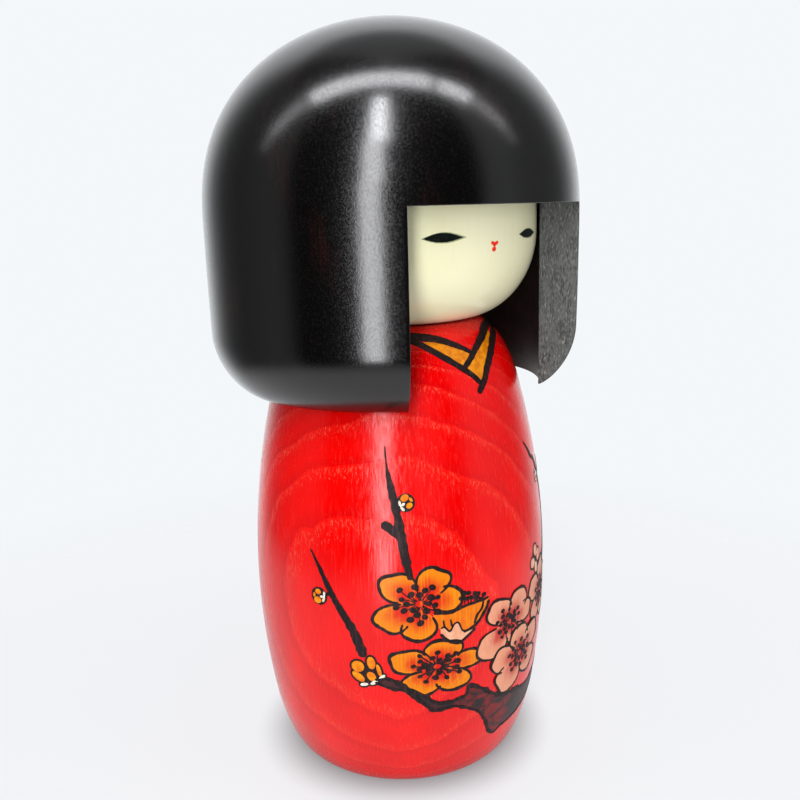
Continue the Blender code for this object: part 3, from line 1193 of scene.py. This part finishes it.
# Light of the tent round the doll, by angle in degrees from the camera towards its right, before
# the factor WALL_LIGHT. A colour ramp's stops go no higher than 1.
WALL_LIGHT = 1.35
TENT_WALLS = (
    (-180, 1.0), (-144, 0.9), (-128, 0.32), (-117, 0.13), (-100, 0.10), (-72, 0.21),
    (-65, 0.18), (-57, 0.004), (51, 0.004), (60, 0.34), (72, 0.34), (84, 0.22),
    (97, 0.17), (117, 0.15), (130, 0.40), (144, 0.9), (180, 1.0),
)
CEILING_LIGHT = 0.30  # the tent's light overhead, as a share of its walls'


def studio_surroundings():
    """A white tent, open and dark towards the camera, in front of a plain pale backdrop."""
    world = bpy.data.worlds.new("studio")
    bpy.context.scene.world = world
    world.use_nodes = True
    world.node_tree.nodes.clear()
    tent = Nodes(world.node_tree)
    direction = tent.node("ShaderNodeTexCoord").outputs["Generated"]

    def along(axis):
        made = tent.node("ShaderNodeVectorMath", operation="DOT_PRODUCT")
        tent.feed(made.inputs[0], direction)
        tent.feed(made.inputs[1], tuple(axis))
        return made.outputs["Value"]

    turn = tent.math("ARCTAN2", along(CAMERA_RIGHT), along(TO_CAMERA))
    walls = tent.node("ShaderNodeValToRGB")
    tent.feed(walls.inputs[0], tent.math("ADD", tent.math("DIVIDE", turn, 2 * pi), 0.5))
    stops = walls.color_ramp.elements
    ends = [stops[0], stops[1]]
    for stop, (_, light) in zip(ends, (TENT_WALLS[0], TENT_WALLS[-1])):
        stop.color = (light, light, light, 1.0)
    for angle, light in TENT_WALLS[1:-1]:
        stops.new(angle / 360 + 0.5).color = (light, light, light, 1.0)
    ceiling = tent.fade(along(UP), 0.74, 0.86, 1.0, CEILING_LIGHT)
    light = tent.times(walls.outputs[0], ceiling)

    def background(colour, strength):
        made = tent.node("ShaderNodeBackground")
        tent.feed(made.inputs["Color"], colour)
        tent.feed(made.inputs["Strength"], strength)
        return made.outputs[0]

    mix = tent.node("ShaderNodeMixShader")
    tent.feed(mix.inputs[0], tent.node("ShaderNodeLightPath").outputs["Is Camera Ray"])
    lit = tent.times(light, WALL_LIGHT)
    tent.feed(mix.inputs[1], background((0.95, 0.98, 1.0), lit))
    tent.feed(mix.inputs[2], background(srgb(243, 247, 250), 1.0))
    tent.feed(tent.node("ShaderNodeOutputWorld").inputs["Surface"], mix.outputs[0])


def softbox(name, centre, aim, across, size, radiance, glossy=True):
    """A rectangular light at centre that faces aim, the first of its two sizes along across."""
    data = bpy.data.lights.new(name, "AREA")
    data.shape = "RECTANGLE"
    data.size, data.size_y = size
    data.energy = radiance * pi * size[0] * size[1]
    data.color = (0.96, 0.97, 1.0)
    lamp = bpy.data.objects.new(name, data)
    bpy.context.scene.collection.objects.link(lamp)
    back = (centre - aim).normalized()
    right = (across - back * across.dot(back)).normalized()
    upward = back.cross(right)
    turn = Matrix((right, upward, back)).transposed()
    lamp.matrix_world = Matrix.Translation(centre) @ turn.to_4x4()
    lamp.visible_glossy = glossy
    lamp.visible_camera = False


def around(azimuth, elevation, distance, centre):
    """A point seen from centre, at an angle to the right of the direction to the camera."""
    a, e = radians(azimuth), radians(elevation)
    level = TO_CAMERA * cos(a) + CAMERA_RIGHT * sin(a)
    return centre + (level * cos(e) + UP * sin(e)) * distance


# The overhead light tubes: start and end along the camera's right, in metres, and their light.
OVERHEAD_TUBES = (
    (-0.98, -0.70, 1.2), (-0.70, -0.335, 2.7), (-0.305, 0.150, 10.5),
    (0.172, 0.335, 10.5), (0.365, 0.68, 2.5), (0.68, 0.95, 1.1),
)
TUBE_WIDTH = 0.085
TUBE_Z = 0.62
TUBE_FORWARD = 0.132  # how far they hang in front of the doll, towards the camera
HEAD_Z = 0.2

# The light strip in front: its lower and upper end, in metres above the floor, and its light.
FRONT_STRIPS = ((-0.30, 0.40, 10.6), (0.40, 0.85, 12.3), (0.85, 2.10, 22.0))
STRIP_WIDTH = 0.20
STRIP_DISTANCE = 0.95
STRIP_ASIDE = -0.192  # along the camera's right, at the floor
STRIP_LEAN = 0.054  # how far it leans to the right for each metre up

# Soft fills that don't show in the gloss: name, degrees to the right of the camera, and light.
FILLS = (("soft_fill", 20.0, 1.95), ("side_fill", 80.0, 1.15))
FILL_ELEVATION = 2.0
FILL_DISTANCE = 0.9
FILL_SIZE = (0.6, 0.5)
CHEST_Z = 0.15


def studio_lights():
    for k, (start, end, light) in enumerate(OVERHEAD_TUBES):
        aside = CAMERA_RIGHT * (start + end) / 2
        centre = UP * TUBE_Z + TO_CAMERA * TUBE_FORWARD + aside
        name, size = "overhead_tube_%d" % k, (end - start, TUBE_WIDTH)
        softbox(name, centre, UP * HEAD_Z + aside, CAMERA_RIGHT, size, light)
    for k, (low, high, light) in enumerate(FRONT_STRIPS):
        z = (low + high) / 2
        aside = CAMERA_RIGHT * (STRIP_ASIDE + STRIP_LEAN * z)
        centre = TO_CAMERA * STRIP_DISTANCE + aside + UP * z
        name, size = "front_strip_%d" % k, (STRIP_WIDTH, high - low)
        softbox(name, centre, UP * z, CAMERA_RIGHT, size, light)
    chest = UP * CHEST_Z
    for name, azimuth, light in FILLS:
        centre = around(azimuth, FILL_ELEVATION, FILL_DISTANCE, chest)
        softbox(name, centre, chest, UP, FILL_SIZE, light, glossy=False)


def camera():
    data = bpy.data.cameras.new("camera")
    data.sensor_width = 36.0
    data.lens = CAMERA_LENS
    data.clip_start = 0.01
    eye = bpy.data.objects.new("camera", data)
    bpy.context.scene.collection.objects.link(eye)
    place = TO_CAMERA * CAMERA_DISTANCE + CAMERA_RIGHT * CAMERA_ASIDE + UP * CAMERA_Z
    yaw = Matrix.Rotation(-VIEW_ANGLE, 4, "Z")
    pitch = Matrix.Rotation(pi / 2 - CAMERA_PITCH, 4, "X")
    roll = Matrix.Rotation(-CAMERA_ROLL, 4, "Z")
    eye.matrix_world = Matrix.Translation(place) @ yaw @ pitch @ roll
    bpy.context.scene.camera = eye


def main():
    materials = {
        "ink": ink(),
        "bark": bark(),
        "eye": eye_paint(),
        "orange": petal_paint(
            "orange_petal",
            edge=srgb(216, 120, 0),
            middle=srgb(208, 86, 0),
            heart=srgb(200, 14, 2),
            fibre_tint=srgb(240, 156, 14),
            heart_reach=(0.34, 0.86),
        ),
        "pink": petal_paint(
            "pink_petal",
            edge=srgb(217, 146, 113),
            middle=srgb(206, 126, 98),
            heart=srgb(180, 20, 18),
            fibre_tint=srgb(226, 164, 133),
            heart_reach=(0.30, 0.72),
        ),
    }
    materials.update((key, flat_paint(*paint)) for key, paint in FLAT_PAINTS.items())
    body = turned_piece("body_turning", body_profile(), stained_wood())
    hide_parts("body")
    face = turned_piece("face", face_profile(), face_paint())
    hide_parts("face_block")
    hair = hair_piece(hair_lacquer(), sawn_wood(), bored_wood())
    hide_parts("hair_shell")
    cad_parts["neck_dowel"].data.materials.clear()
    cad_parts["neck_dowel"].data.materials.append(bare_wood())

    painting = painted_branch(materials) + painted_blossoms(materials) + painted_collar(materials)
    on_body = [body] + painting
    on_head = [face, hair, *painted_face(materials)]
    for piece in on_body:
        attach(piece, "lower_body")
    for piece in on_head:
        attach(piece, "head")

    studio_floor()
    studio_surroundings()
    studio_lights()
    camera()
    bpy.context.scene.view_settings.view_transform = "Standard"


main()
